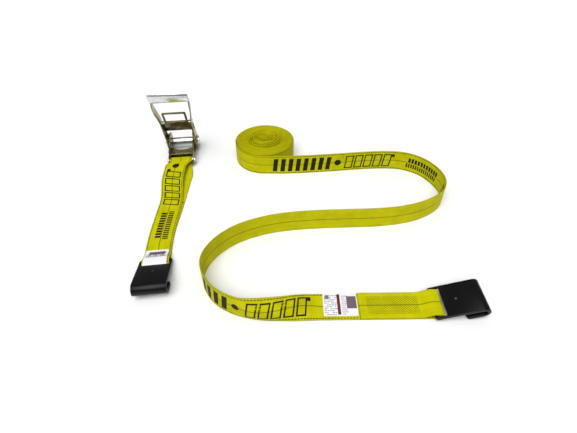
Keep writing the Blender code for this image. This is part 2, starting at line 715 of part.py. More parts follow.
def main():
    materials = {
        "zinc": make_material("yellow_zinc", (0.36, 0.33, 0.20), 0.30, 1.0),
        "bright": make_material("bright_zinc", (0.72, 0.74, 0.74), 0.24, 1.0),
        "steel": make_material("plated_steel", (0.52, 0.50, 0.40), 0.35, 1.0),
        "webbing": make_material("webbing", (0.62, 0.62, 0.01), 0.75, 0.0),
        "label": make_material("label", (0.86, 0.86, 0.88), 0.55, 0.0),
        "black": make_material("black_coating", (0.006, 0.006, 0.007), 0.38, 0.0),
    }
    shift = Matrix.Translation((-LAYOUT_CENTRE[0], -LAYOUT_CENTRE[1], 0))
    layout = make_empty("layout", None, shift @ Matrix.Rotation(-RATCHET_YAW, 4, "Z"))
    spindle = Matrix.Translation((*SPINDLE_PLACE, FRAME_HUB_RADIUS)) @ Matrix.Rotation(RATCHET_YAW, 4, "Z")
    frame_turn = math.radians(90) + FRAME_DROOP
    frame_line = make_empty("frame_line", layout, spindle @ Matrix.Rotation(frame_turn, 4, "X"))
    handle_turn = frame_turn - HANDLE_FROM_FRAME
    handle_line = make_empty("handle_line", layout, spindle @ Matrix.Rotation(handle_turn, 4, "X"))
    spindle_line = make_empty("spindle_line", layout, spindle)
    build_frame(frame_line, materials)
    build_lock_pawl(frame_line, materials)
    build_anchor(frame_line, materials)
    build_spindle(spindle_line, handle_turn, materials)
    build_handle(handle_line, materials)
    build_drive_pawl(handle_line, materials)
    bolt_height = FRAME_HUB_RADIUS - BOLT_DISTANCE * math.sin(FRAME_DROOP)
    short_bar = build_short_strap(layout, bolt_height, materials)
    build_hook("short_hook", make_empty("short_hook_pivot", layout, short_bar), materials["black"])
    long_bar = build_long_strap(layout, materials)
    build_hook("long_hook", make_empty("long_hook_pivot", layout, long_bar), materials["black"])


clear_scene()
PARTS = make_collection("ratchet_tie_down")
CUTTERS = make_collection("cutters", hidden=True)
main()
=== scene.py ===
"""Looks for the ratchet tie down: webbing, print, stitching, labels, plated steel and black hooks.

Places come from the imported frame. Where a strap's route is needed it is repeated here, in the layout in
which the straps were planned, and to_world() takes it to the frame's own axes.
"""

import bisect
import json
import math

import bmesh
import bpy
from mathutils import Matrix, Vector


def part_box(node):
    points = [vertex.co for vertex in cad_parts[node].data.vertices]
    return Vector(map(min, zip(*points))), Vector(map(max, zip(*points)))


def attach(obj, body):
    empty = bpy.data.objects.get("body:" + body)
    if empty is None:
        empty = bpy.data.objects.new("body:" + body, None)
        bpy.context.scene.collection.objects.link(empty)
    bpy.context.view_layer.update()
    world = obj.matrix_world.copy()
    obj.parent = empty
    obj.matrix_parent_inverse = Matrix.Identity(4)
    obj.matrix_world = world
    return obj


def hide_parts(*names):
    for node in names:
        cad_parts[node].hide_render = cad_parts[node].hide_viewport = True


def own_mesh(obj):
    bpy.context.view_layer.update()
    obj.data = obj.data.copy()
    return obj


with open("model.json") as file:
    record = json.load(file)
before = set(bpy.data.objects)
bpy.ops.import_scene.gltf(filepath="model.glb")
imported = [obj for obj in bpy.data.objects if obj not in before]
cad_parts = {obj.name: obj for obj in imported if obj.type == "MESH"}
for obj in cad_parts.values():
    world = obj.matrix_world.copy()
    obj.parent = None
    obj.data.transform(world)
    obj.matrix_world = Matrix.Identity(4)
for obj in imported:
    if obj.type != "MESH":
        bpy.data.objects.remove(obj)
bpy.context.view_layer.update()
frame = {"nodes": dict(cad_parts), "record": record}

# The layout's turn and centre, and the camera that looks along its Y
LAYOUT_TURN = math.radians(-7.0)
LAYOUT_CENTRE = (0.1064, 0.6399)
CAMERA_HEIGHT = 0.571
CAMERA_PITCH = math.radians(42.1)
CAMERA_LENS = 24.96

# Webbing
WEB_WIDTH = 0.050
WEB_THICK = 0.0022
GAP = 0.0003
FLOOR_LIFT = 0.0001
ROUTE_SPACING = 0.006
BACK_FACE_U = 0.1
ROLL_CENTRE = (-0.058, 0.859)
ROLL_OUTER = 0.0720
ROLL_INNER = 0.0165
LONG_CUT = 8.23
ROLL_STEP = 0.0400
OUTER_PITCH = 0.00225
OUTER_GAP = 0.0012
CORE_PAIRING = 0.00045
CORE_LENGTH = 0.085
CORE_RADIUS = 0.0130
CORE_RISE = 0.0024
CORE_RING_HALF_HEIGHT = 0.0021
CORE_RING_SPACING = 0.0064
BODY_RISE = 0.0022
LABEL_THICK = 0.0006
LABEL_WIDTH = 0.043
OVERLAP_LENGTH = 0.1245
LONG_BAR_PLACE = (0.2435, 0.3778)
LONG_END_ROLL = math.radians(5.0)
LONG_END_YAW = math.radians(0.8)
LONG_HOOK_YAW = math.radians(3.0)
LONG_HOOK_PITCH = math.radians(16.6)
SHORT_HOOK_PITCH = math.radians(16.8)
TWIST_LENGTH = 0.145
TWIST_BOW = 0.0120
TWIST_NARROWING = 0.19
BAR_HEIGHT = 0.0070
BAR_EYE_RADIUS = 0.0057
BAR_EYE_SLACK = 0.0080
SHORT_JOIN = 0.150
SHORT_PRINT_SIDE = -1
HOOK_HALF_THICK = 0.0025
EYE_RADIUS = 0.0074

# How far print, label print and stitches lie off the face that carries them
INK_LIFT = 0.00008
LABEL_INK_LIFT = 0.00006
THREAD_LIFT = 0.00012

# The print's bars, across the webbing, and its small rows
PRINT_NEAR = 0.0070
PRINT_FAR = 0.0420
PRINT_SLANT = 0.0040
SMALL_NEAR = 0.0110
SMALL_FAR = 0.0390
DOT_RADIUS = 0.008

# Studio
FLOOR_REACH = 30.0
BACKDROP_RADIUS = 29.0
BACKDROP_HEIGHT = 60.0

SHORT_ROUTE = [
    (-0.2631, 0.8234), (-0.2614, 0.8095), (-0.2606, 0.793), (-0.2606, 0.765), (-0.2604, 0.735),
    (-0.2592, 0.700), (-0.2578, 0.660), (-0.2572, 0.620), (-0.2560, 0.580), (-0.2532, 0.545),
    (-0.2474, 0.500),
]
LONG_ROUTE = [
    (-0.058, 0.787), (0.000, 0.7875), (0.050, 0.791), (0.100, 0.796), (0.150, 0.802),
    (0.200, 0.807), (0.245, 0.808), (0.280, 0.801), (0.312, 0.780), (0.334, 0.745),
    (0.342, 0.708), (0.334, 0.674), (0.312, 0.647), (0.275, 0.624), (0.230, 0.609),
    (0.180, 0.6015), (0.120, 0.5985), (0.060, 0.5955), (0.000, 0.589), (-0.050, 0.577),
    (-0.097, 0.555), (-0.130, 0.526), (-0.149, 0.494), (-0.154, 0.464), (-0.1445, 0.4345),
    (-0.1235, 0.407), (-0.091, 0.3875), (-0.050, 0.3770), (0.000, 0.3735), (0.055, 0.3751),
]


def to_world():
    """The turn and shift that take the layout to the frame's own axes."""
    shift = Matrix.Translation((-LAYOUT_CENTRE[0], -LAYOUT_CENTRE[1], 0))
    return shift @ Matrix.Rotation(LAYOUT_TURN, 4, "Z")


# ---------------------------------------------------------------- materials

class Nodes:
    """A short way to write a node tree: each call adds a node and returns its first output."""

    def __init__(self, name):
        self.material = bpy.data.materials.new(name)
        self.material.use_nodes = True
        self.tree = self.material.node_tree
        self.shader = self.tree.nodes["Principled BSDF"]

    def link(self, source, socket):
        if hasattr(source, "is_output"):
            self.tree.links.new(source, socket)
        else:
            socket.default_value = source

    def math(self, operation, a, b=0.0, c=0.0):
        node = self.tree.nodes.new("ShaderNodeMath")
        node.operation = operation
        for value, socket in zip((a, b, c), node.inputs):
            self.link(value, socket)
        return node.outputs[0]

    def mix(self, factor, a, b):
        node = self.tree.nodes.new("ShaderNodeMix")
        node.data_type = "RGBA"
        self.link(factor, node.inputs[0])
        for value, socket in ((a, node.inputs[6]), (b, node.inputs[7])):
            self.link(value if hasattr(value, "is_output") else (*value, 1.0), socket)
        return node.outputs[2]

    def noise(self, vector, scale, detail=3.0, roughness=0.5):
        node = self.tree.nodes.new("ShaderNodeTexNoise")
        node.inputs["Scale"].default_value = scale
        node.inputs["Detail"].default_value = detail
        node.inputs["Roughness"].default_value = roughness
        self.tree.links.new(vector, node.inputs["Vector"])
        return node.outputs[0]

    def place(self):
        return self.tree.nodes.new("ShaderNodeTexCoord").outputs["Object"]

    def stretched(self, vector, scale):
        node = self.tree.nodes.new("ShaderNodeMapping")
        node.inputs["Scale"].default_value = scale
        self.tree.links.new(vector, node.inputs["Vector"])
        return node.outputs[0]

    def uv(self):
        node = self.tree.nodes.new("ShaderNodeUVMap")
        node.uv_map = "strap"
        split = self.tree.nodes.new("ShaderNodeSeparateXYZ")
        self.tree.links.new(node.outputs[0], split.inputs[0])
        return split.outputs[0], split.outputs[1]

    def remap(self, value, low, high, new_low, new_high):
        node = self.tree.nodes.new("ShaderNodeMapRange")
        for v, socket in zip((value, low, high, new_low, new_high), node.inputs):
            self.link(v, socket)
        return node.outputs[0]

    def bump(self, height, distance, strength=1.0):
        node = self.tree.nodes.new("ShaderNodeBump")
        node.inputs["Strength"].default_value = strength
        node.inputs["Distance"].default_value = distance
        self.tree.links.new(height, node.inputs["Height"])
        self.tree.links.new(node.outputs[0], self.shader.inputs["Normal"])

    def line(self, u, middle, half):
        """1 within half of middle, 0 elsewhere."""
        return self.math("COMPARE", u, middle, half)


def plated_steel(name, light, dark, roughness):
    """Zinc plate: cloudy colour, fine grain and small dents."""
    n = Nodes(name)
    place = n.place()
    cloud = n.noise(place, 60.0, 4.0, 0.6)
    grain = n.noise(n.stretched(place, (1.0, 9.0, 9.0)), 700.0, 2.0)
    n.link(n.mix(n.remap(cloud, 0.35, 0.65, 0.0, 1.0), dark, light), n.shader.inputs["Base Color"])
    n.shader.inputs["Metallic"].default_value = 1.0
    spread = n.remap(grain, 0.3, 0.7, roughness - 0.06, roughness + 0.10)
    n.link(spread, n.shader.inputs["Roughness"])
    n.bump(n.math("ADD", n.math("MULTIPLY", cloud, 2.0), grain), 0.00006, 0.6)
    return n.material


def black_coating():
    """Powder coat: nearly black, with a fine orange peel and a few dull scuffs."""
    n = Nodes("hook_black_coating")
    place = n.place()
    peel = n.noise(place, 900.0, 2.0)
    scuff = n.remap(n.noise(n.stretched(place, (1.0, 3.0, 1.0)), 130.0, 5.0, 0.7), 0.60, 0.74, 0.0, 1.0)
    n.link(n.mix(scuff, (0.0008, 0.0009, 0.0011), (0.004, 0.004, 0.004)), n.shader.inputs["Base Color"])
    n.link(n.remap(scuff, 0.0, 1.0, 0.34, 0.52), n.shader.inputs["Roughness"])
    n.shader.inputs["Specular IOR Level"].default_value = 0.20
    n.bump(peel, 0.00003, 0.5)
    return n.material


def weave_height(n, u, v):
    """Warp cords along the strap, each crossed by slanting picks."""
    cord = n.math("ABSOLUTE", n.math("SINE", n.math("MULTIPLY", u, math.pi / 0.00085)))
    slant = n.math("ADD", n.math("MULTIPLY", v, math.pi / 0.0013), n.math("MULTIPLY", u, math.pi / 0.0017))
    pick = n.math("ABSOLUTE", n.math("SINE", slant))
    return n.math("ADD", n.math("MULTIPLY", cord, 0.6), n.math("MULTIPLY", pick, 0.4))


def webbing():
    """Yellow webbing: the printed face has dashed tracers near both edges, the back a plain centre."""
    n = Nodes("yellow_webbing")
    u, v = n.uv()
    is_back = n.math("GREATER_THAN", u, BACK_FACE_U * 0.75)
    across = n.math("SUBTRACT", u, n.math("MULTIPLY", is_back, BACK_FACE_U))
    height = weave_height(n, across, v)
    cloud = n.noise(n.place(), 45.0, 3.0)
    yellow = n.mix(n.remap(cloud, 0.3, 0.7, 0.0, 1.0), (0.48, 0.465, 0.0005), (0.59, 0.57, 0.001))
    # painted shade: the yarn is darkened where the weave sits low, as if shaded in its hollows
    yellow = n.mix(n.remap(height, 0.0, 0.55, 0.42, 0.0), yellow, (0.22, 0.21, 0.001))
    from_middle = n.math("ABSOLUTE", n.math("SUBTRACT", across, WEB_WIDTH / 2))
    # painted shade: the rounded edges of the webbing are darkened, which darkens the lines between the
    # roll's turns and its top face
    painted_edge_shade = n.remap(from_middle, 0.0236, 0.0248, 0.0, 0.70)
    yellow = n.mix(painted_edge_shade, yellow, (0.30, 0.285, 0.001))
    dash = n.math("LESS_THAN", n.math("FRACT", n.math("DIVIDE", v, 0.0052)), 0.66)
    tracer = n.math("MULTIPLY", n.line(from_middle, 0.0220, 0.0009), dash)
    tracer = n.math("MULTIPLY", tracer, n.math("SUBTRACT", 1.0, is_back))
    centre = n.line(from_middle, 0.0, 0.0010)
    yellow = n.mix(n.math("MULTIPLY", centre, 0.75), yellow, (0.16, 0.15, 0.003))
    # painted shade: a thin darker line along the webbing, 11.8 mm either side of the middle, for the shade
    # of a groove
    painted_groove_shade = n.line(from_middle, 0.0118, 0.0005)
    yellow = n.mix(n.math("MULTIPLY", painted_groove_shade, 0.22), yellow, (0.25, 0.24, 0.003))
    n.link(n.mix(n.math("MULTIPLY", tracer, 0.92), yellow, (0.02, 0.018, 0.004)),
           n.shader.inputs["Base Color"])
    n.shader.inputs["Roughness"].default_value = 0.62
    n.shader.inputs["Specular IOR Level"].default_value = 0.06
    n.bump(height, 0.00035, 0.8)
    return n.material


def printed(name, colour, under, wear):
    """Ink on webbing: it follows the weave, and the yarn shows through where it is thin."""
    n = Nodes(name)
    place = n.place()
    thin = n.remap(n.noise(place, 420.0, 4.0, 0.7), 0.62 - wear, 0.80 - wear, 0.0, 0.55)
    n.link(n.mix(thin, colour, under), n.shader.inputs["Base Color"])
    n.shader.inputs["Roughness"].default_value = 0.6
    n.shader.inputs["Specular IOR Level"].default_value = 0.10
    n.bump(n.noise(n.stretched(place, (1.0, 1.0, 2.5)), 900.0, 2.0), 0.0002, 0.5)
    return n.material


def label_cloth():
    """White woven label, a little soiled in places."""
    n = Nodes("label_cloth")
    place = n.place()
    fibre = n.noise(n.stretched(place, (1.0, 4.0, 1.0)), 800.0, 2.0)
    soil = n.remap(n.noise(place, 35.0, 4.0, 0.6), 0.45, 0.75, 0.0, 0.35)
    n.link(n.mix(soil, (0.80, 0.80, 0.84), (0.60, 0.60, 0.58)), n.shader.inputs["Base Color"])
    n.shader.inputs["Roughness"].default_value = 0.45
    n.bump(fibre, 0.0001, 0.4)
    return n.material


def floor_paper():
    """White paper, with the faintest change of tone."""
    n = Nodes("floor_paper")
    tone = n.remap(n.noise(n.place(), 3.0, 2.0), 0.3, 0.7, 0.0, 1.0)
    n.link(n.mix(tone, (0.86, 0.86, 0.86), (0.88, 0.88, 0.88)), n.shader.inputs["Base Color"])
    n.shader.inputs["Roughness"].default_value = 0.9
    return n.material


# ---------------------------------------------------------------- straps

def smooth_step(value, low, high):
    """0 up to low, 1 from high on, and a smooth curve between."""
    share = min(max((value - low) / (high - low), 0.0), 1.0)
    return share * share * (3 - 2 * share)


def smooth_route(points, spacing):
    """(place, heading, distance) at even steps along a Catmull-Rom curve through the points."""
    ends = [Vector(p) for p in points]
    ends = [2 * ends[0] - ends[1]] + ends + [2 * ends[-1] - ends[-2]]
    fine = []
    for before, a, b, after in zip(ends, ends[1:], ends[2:], ends[3:]):
        for i in range(20):
            t = i / 20
            fine.append(
                0.5 * (2 * a + (b - before) * t + (2 * before - 5 * a + 4 * b - after) * t ** 2
                       + (3 * a - before - 3 * b + after) * t ** 3)
            )
    fine.append(ends[-2])
    reach = [0.0]
    for a, b in zip(fine, fine[1:]):
        reach.append(reach[-1] + (b - a).length)
    count = round(reach[-1] / spacing)
    route = []
    k = 0
    for i in range(count + 1):
        wanted = reach[-1] * i / count
        while k < len(fine) - 2 and reach[k + 1] < wanted:
            k += 1
        share = (wanted - reach[k]) / (reach[k + 1] - reach[k])
        heading = (fine[k + 1] - fine[k]).normalized()
        route.append((fine[k].lerp(fine[k + 1], share), heading, wanted))
    return route


def place_on_route(route, distance):
    """(place, heading) at a distance along a route, carried straight on past its ends."""
    total = route[-1][2]
    inside = min(max(distance, 0.0), total)
    k = min(int(inside / total * (len(route) - 1)), len(route) - 2)
    share = (inside - route[k][2]) / (route[k + 1][2] - route[k][2])
    place = route[k][0].lerp(route[k + 1][0], share)
    heading = route[k][1].lerp(route[k + 1][1], share).normalized()
    return place + heading * (distance - inside), heading


def eye_path(radius, centre_height, steps):
    """(along, height) round an eye, from its under side to its upper side."""
    return [(radius * math.cos(math.radians(a)), centre_height + radius * math.sin(math.radians(a)))
            for a in [-90 + 180 * i / steps for i in range(steps + 1)]]


class Strap:
    """A strap of webbing through pairs of edge points, which knows where its faces are."""

    def __init__(self, stations, bows=None):
        self.stations = stations
        self.bows = bows or [Vector()] * len(stations)
        middles = [(a + b) / 2 for a, b in stations]
        self.reach = [0.0]
        for a, b in zip(middles, middles[1:]):
            self.reach.append(self.reach[-1] + (b - a).length)
        self.normals = []
        for i, (low, high) in enumerate(stations):
            ahead = middles[min(i + 1, len(middles) - 1)]
            behind = middles[max(i - 1, 0)]
            self.normals.append((high - low).cross(ahead - behind).normalized())

    def at(self, distance, across, lift):
        """A point at a distance along, across from the low edge, and lift off the middle surface."""
        k = min(max(bisect.bisect_right(self.reach, distance) - 1, 0), len(self.reach) - 2)
        share = (distance - self.reach[k]) / (self.reach[k + 1] - self.reach[k])
        one = self.stations[k][0].lerp(self.stations[k + 1][0], share)
        other = self.stations[k][1].lerp(self.stations[k + 1][1], share)
        normal = self.normals[k].lerp(self.normals[k + 1], share).normalized()
        t = across / WEB_WIDTH
        bow = self.bows[k].lerp(self.bows[k + 1], share) * (4 * t * (1 - t))
        return one.lerp(other, t) + bow + normal * lift

    def mesh(self, name, columns=8, edge=0.0011):
        """A closed strip with rounded selvedges, and a UV map in metres that tells its faces apart."""
        shares = [0.0, edge * 0.35, edge]
        shares += [edge + (WEB_WIDTH - 2 * edge) * i / columns for i in range(1, columns)]
        shares += [WEB_WIDTH - edge, WEB_WIDTH - edge * 0.35, WEB_WIDTH]
        ring = []
        for u in shares:
            inset = max(edge - u, edge - (WEB_WIDTH - u), 0.0) / edge
            ring.append((u, WEB_THICK / 2 * math.sqrt(max(1 - inset ** 2, 0.0))))
        printed_side = [(u, -half) for u, half in ring]
        back_side = [(u, half) for u, half in reversed(ring[1:-1])]
        loop = printed_side + back_side
        shape = bmesh.new()
        uv_layer = shape.loops.layers.uv.new("strap")
        rows = []
        for (low, high), normal, bow in zip(self.stations, self.normals, self.bows):
            row = []
            for u, h in loop:
                t = u / WEB_WIDTH
                point = low.lerp(high, t) + bow * (4 * t * (1 - t)) + normal * h
                row.append(shape.verts.new(point))
            rows.append(row)
        count = len(loop)
        front = len(printed_side) - 1
        for i in range(len(rows) - 1):
            for j in range(count):
                k = (j + 1) % count
                face = shape.faces.new((rows[i][j], rows[i][k], rows[i + 1][k], rows[i + 1][j]))
                face.smooth = True
                shift = 0.0 if j < front else BACK_FACE_U
                corners = ((i, j), (i, k), (i + 1, k), (i + 1, j))
                for corner, (row, column) in zip(face.loops, corners):
                    corner[uv_layer].uv = (loop[column][0] + shift, self.reach[row])
        for row in (rows[0], list(reversed(rows[-1]))):
            face = shape.faces.new(list(reversed(row)))
            for corner in face.loops:
                corner[uv_layer].uv = (WEB_WIDTH / 2 + BACK_FACE_U, 0.0)
        bmesh.ops.recalc_face_normals(shape, faces=shape.faces)
        mesh = bpy.data.meshes.new(name)
        shape.to_mesh(mesh)
        shape.free()
        return mesh


def add_piece(name, mesh, material, body):
    """A new object that rides on a body and carries the material it is given."""
    obj = bpy.data.objects.new(name, mesh)
    bpy.context.scene.collection.objects.link(obj)
    mesh.materials.append(material)
    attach(obj, body)
    return obj


def long_end_frame():
    """The flat end of the long strap: X towards the hook, Y from its near edge to its far one."""
    place = Matrix.Translation((*LONG_BAR_PLACE, 0.0)) @ Matrix.Rotation(LONG_END_YAW, 4, "Z")
    return place @ Matrix.Rotation(LONG_END_ROLL, 4, "X")


def long_hook_frame():
    """The long hook, with its origin on its bar and X towards its bend."""
    bar = Matrix.Translation((0, WEB_WIDTH / 2, BAR_HEIGHT)) @ Matrix.Rotation(LONG_HOOK_YAW, 4, "Z")
    return to_world() @ long_end_frame() @ bar @ Matrix.Rotation(-LONG_HOOK_PITCH, 4, "Y")


def short_hook_frame():
    """The short hook, with its origin on its bar and X towards its bend."""
    route = smooth_route(SHORT_ROUTE, ROUTE_SPACING)
    place, heading = place_on_route(route, route[-1][2])
    bar = Matrix.Translation((*place, BAR_HEIGHT))
    turn = Matrix.Rotation(math.atan2(heading.y, heading.x), 4, "Z")
    return to_world() @ bar @ turn @ Matrix.Rotation(-SHORT_HOOK_PITCH, 4, "Y")


def floor_run():
    """Edge points along the floor, from on edge at the roll to lying flat, and the bow of each row."""
    route = smooth_route(LONG_ROUTE, ROUTE_SPACING)
    length = route[-1][2]
    pairs = []
    bows = []
    for place, heading, distance in route:
        twist = smooth_step(distance, length - TWIST_LENGTH, length)
        lean = math.radians(90) - (math.radians(90) - LONG_END_ROLL) * twist
        across = Vector((-heading.y * math.cos(lean), heading.x * math.cos(lean), math.sin(lean)))
        outward = Vector((heading.y * math.sin(lean), -heading.x * math.sin(lean), math.cos(lean)))
        bow = math.sqrt(max(math.sin(math.pi * twist), 0.0))
        low = Vector((place.x, place.y, WEB_THICK / 2 * math.cos(lean) + FLOOR_LIFT))
        pairs.append((low, low + across * (WEB_WIDTH * (1 - TWIST_NARROWING * bow ** 2))))
        bows.append(outward * (TWIST_BOW * bow))
    return pairs, bows


def flat_end():
    """Edge points from the end of the twist to the hook's bar, round it, and back along the overlap."""
    frame_end = long_end_frame()
    middle = WEB_THICK / 2
    flat_start = LONG_ROUTE[-1][0] - LONG_BAR_PLACE[0]
    pairs = []

    def add_pair(along, height):
        near = frame_end @ Vector((along, 0.0, height))
        far = frame_end @ Vector((along, WEB_WIDTH, height))
        pairs.append((near, far))

    for i in range(1, 34):
        add_pair(flat_start * (1 - i / 33), middle)
    for along, height in eye_path(BAR_EYE_RADIUS, BAR_HEIGHT, 16):
        add_pair(BAR_EYE_SLACK + along, height)
    top = middle + WEB_THICK + GAP
    for i in range(41):
        back = OVERLAP_LENGTH * (i / 40) ** 1.2
        rise = (BAR_HEIGHT + BAR_EYE_RADIUS - top) * (1 - smooth_step(back, 0.0, 0.024))
        add_pair(-back, top + rise)
    return pairs


def roll_pairs(run_length):
    """Edge points of the roll from its core outwards, with as many turns as the cut length leaves."""
    body_outer = ROLL_OUTER - OUTER_GAP
    outer_turns = (body_outer - ROLL_STEP) / OUTER_PITCH
    outer_length = math.pi * (body_outer ** 2 - ROLL_STEP ** 2) / OUTER_PITCH
    inner_length = LONG_CUT - CORE_LENGTH - run_length - outer_length
    inner_pitch = math.pi * (ROLL_STEP ** 2 - ROLL_INNER ** 2) / inner_length
    turns = outer_turns + (ROLL_STEP - ROLL_INNER) / inner_pitch
    steps = round(turns * 64)
    pairs = core_stations(-math.pi / 2 - math.tau * turns)
    for i in range(steps):
        turned = turns * (1 - i / steps)
        radius = ROLL_OUTER - OUTER_PITCH * min(turned, outer_turns)
        radius -= OUTER_GAP * smooth_step(turned, 0.4, 1.0)
        in_core = max(turned - outer_turns, 0.0)
        radius -= inner_pitch * in_core + CORE_PAIRING * math.sin(math.pi * in_core)
        angle = -math.pi / 2 - math.tau * turned
        raised = roll_height(radius, angle)
        x = ROLL_CENTRE[0] + radius * math.cos(angle)
        y = ROLL_CENTRE[1] + radius * math.sin(angle)
        pairs.append((Vector((x, y, raised)), Vector((x, y, WEB_WIDTH + raised))))
    return pairs


def long_strap_stations():
    """Edge points from the middle of the roll, along the floor, round the hook's bar and back.

    Also the bow of each row, and the rows at which the roll and the twist end.
    """
    world = to_world()
    turn = world.to_3x3()
    run, run_bows = floor_run()
    run += flat_end()
    run_length = sum((sum(b, Vector()) / 2 - sum(a, Vector()) / 2).length for a, b in zip(run, run[1:]))
    roll = roll_pairs(run_length)
    stations = [(world @ low, world @ high) for low, high in roll + run]
    bows = [Vector()] * len(roll) + [turn @ bow for bow in run_bows]
    bows += [Vector()] * (len(stations) - len(bows))
    return stations, bows, len(roll), len(roll) + len(run_bows) - 1


def core_stations(end_angle):
    """The innermost turn and a quarter, squashed flat across the hole and opening out to a circle."""
    stations = []
    for i in range(70):
        share = i / 70
        radius = CORE_RADIUS + (ROLL_INNER - CORE_RADIUS) * share
        angle = end_angle - math.tau * 1.25 * (1 - share)
        x = ROLL_CENTRE[0] + radius * math.cos(angle)
        y = ROLL_CENTRE[1] + radius * math.sin(angle) * (0.30 + 0.70 * smooth_step(share, 0.1, 1.0))
        raised = roll_height(radius, angle)
        stations.append((Vector((x, y, raised)), Vector((x, y, WEB_WIDTH + raised))))
    return stations


def roll_height(radius, angle):
    """How high a turn stands: inside the outermost turn it is proud, and the core is in raised rings."""
    in_core = 1 - smooth_step(radius, ROLL_STEP - 0.002, ROLL_STEP + 0.001)
    ripple = 0.0005 * (1 + math.sin(radius * 2300 + 0.6 * math.sin(angle)))
    rings = CORE_RING_HALF_HEIGHT * in_core * (1 + math.sin(radius * math.tau / CORE_RING_SPACING))
    inside = smooth_step(ROLL_OUTER - radius, 0.0, 0.006)
    proud = BODY_RISE * smooth_step(ROLL_OUTER - radius, 0.0016, 0.0042)
    return (CORE_RISE * in_core + (ripple + rings)) * inside + proud + FLOOR_LIFT


def upper_shift(d):
    """How far the short strap's upper layer lies sideways, at d from the bolt."""
    return -0.010 * smooth_step(d, 0.011, 0.030) * (1 - smooth_step(d, 0.060, 0.150))


def lower_shift(d):
    """How far its lower layer lies sideways, at d from the bolt."""
    return 0.0065 * smooth_step(d, 0.012, 0.050) * (1 - smooth_step(d, 0.060, 0.285))


def short_strap_stations():
    """Edge points once round the short strap, from its sewn join by way of the hook's bar and the bolt."""
    world = to_world()
    route = smooth_route(SHORT_ROUTE, ROUTE_SPACING)
    length = route[-1][2]
    bolt_height = (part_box("anchor_sleeve")[0].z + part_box("anchor_sleeve")[1].z) / 2
    low = WEB_THICK / 2 + FLOOR_LIFT
    high = low + WEB_THICK + GAP
    path = []
    for i in range(41):
        d = SHORT_JOIN + (length - SHORT_JOIN) * i / 40
        drop = smooth_step(d, length - 0.024, length)
        path.append((d, low + (BAR_HEIGHT - BAR_EYE_RADIUS - low) * drop, lower_shift(d)))
    for along, height in eye_path(BAR_EYE_RADIUS, BAR_HEIGHT, 14):
        path.append((length + BAR_EYE_SLACK + along, height, 0.0))
    for i in range(80):
        d = length * (1 - i / 80)
        near_hook = (BAR_HEIGHT + BAR_EYE_RADIUS - high) * (1 - smooth_step(length - d, 0.0, 0.024))
        near_bolt = (bolt_height + EYE_RADIUS - high) * (1 - smooth_step(d, -0.012, 0.140))
        path.append((d, high + near_hook + near_bolt, upper_shift(d)))
    for along, height in reversed(eye_path(EYE_RADIUS, bolt_height, 14)):
        path.append((-along, height, 0.0))
    for i in range(1, 31):
        d = (SHORT_JOIN - 0.002) * i / 30
        height = low + (bolt_height - EYE_RADIUS - low) * (1 - smooth_step(d, 0.0, 0.075))
        path.append((d, height, lower_shift(d)))
    stations = []
    for d, height, shift in path:
        place, heading = place_on_route(route, d)
        across = Vector((-heading.y, heading.x))
        one = place + across * (shift - WEB_WIDTH / 2)
        other = place + across * (shift + WEB_WIDTH / 2)
        stations.append((world @ Vector((*other, height)), world @ Vector((*one, height))))
    return stations


class Marks:
    """Flat marks on a strap's face, each a four-sided patch that follows the strap."""

    def __init__(self, strap, lift):
        self.strap = strap
        self.lift = lift
        self.shape = bmesh.new()

    def patch(self, start, end, near, far, slant=0.0):
        """From start to end along, and from near to far across; slant shifts the far side along."""
        steps = max(1, math.ceil(abs(end - start) / 0.004))
        columns = max(1, math.ceil(abs(far - near) / 0.006))
        rows = []
        for i in range(steps + 1):
            along = start + (end - start) * i / steps
            row = []
            for j in range(columns + 1):
                across = near + (far - near) * j / columns
                shifted = along + slant * j / columns
                row.append(self.shape.verts.new(self.strap.at(shifted, across, self.lift)))
            rows.append(row)
        for a, b in zip(rows, rows[1:]):
            for j in range(columns):
                face = self.shape.faces.new((a[j], a[j + 1], b[j + 1], b[j]))
                face.smooth = True

    def frame(self, start, end, near, far, width, slant):
        """The outline of a patch."""
        lean = slant / (far - near)
        self.patch(start, end, near, near + width, lean * width)
        top = lean * (far - near - width)
        self.patch(start + top, end + top, far - width, far, lean * width)
        self.patch(start, start + width, near, far, slant)
        self.patch(end - width, end, near, far, slant)

    def disc(self, along, across, radius):
        """A round mark."""
        ring = []
        for i in range(16):
            angle = math.tau * i / 16
            point = (along + radius * math.cos(angle), across + radius * math.sin(angle))
            ring.append(self.shape.verts.new(self.strap.at(*point, self.lift)))
        self.shape.faces.new(ring)

    def stitches(self, start, end, near, far, along_pitch, across_pitch, slant):
        """A field of short slanting stitches, every other row set back by half a stitch."""
        rows = round((far - near) / across_pitch)
        count = round((end - start) / along_pitch)
        for i in range(rows + 1):
            across = near + (far - near) * i / rows
            for j in range(count):
                along = start + along_pitch * (j + 0.5 * (i % 2))
                self.patch(along, along + 0.0011, across, across + across_pitch * 0.8, slant)

    def finish(self, name, material, body, slot):
        """The marks so far as one piece."""
        mesh = bpy.data.meshes.new(name)
        self.shape.to_mesh(mesh)
        self.shape.free()
        return add_piece(name, mesh, material, body)


def solid_bars(marks, start, count, pitch, near, far, slant):
    """Solid slanted bars in a row, as generic print; returns where they end."""
    for i in range(count):
        marks.patch(start + i * pitch, start + (i + 0.58) * pitch, near, far, slant)
    return start + count * pitch


def outlined_bars(marks, start, count, pitch, near, far, slant):
    """Outlined slanted bars in a row, with a small tab after the last; returns where they end."""
    for i in range(count):
        marks.frame(start + i * pitch, start + (i + 0.84) * pitch, near, far, 0.0029, slant)
    end = start + count * pitch
    marks.patch(end, end + 0.006, far - 0.008, far)
    return end + 0.006


def small_rows(marks, start, end, near, far):
    """Two rows of small generic marks, of mixed lengths."""
    for row, across in enumerate((near, (near + far) / 2 + 0.001)):
        along = start + 0.004 * row
        step = 0
        while along < end:
            length = 0.0035 + 0.0020 * ((step * 3 + row) % 3)
            marks.patch(along, along + length, across, across + (far - near) / 2 - 0.003)
            along += length + 0.0022
            step += 1


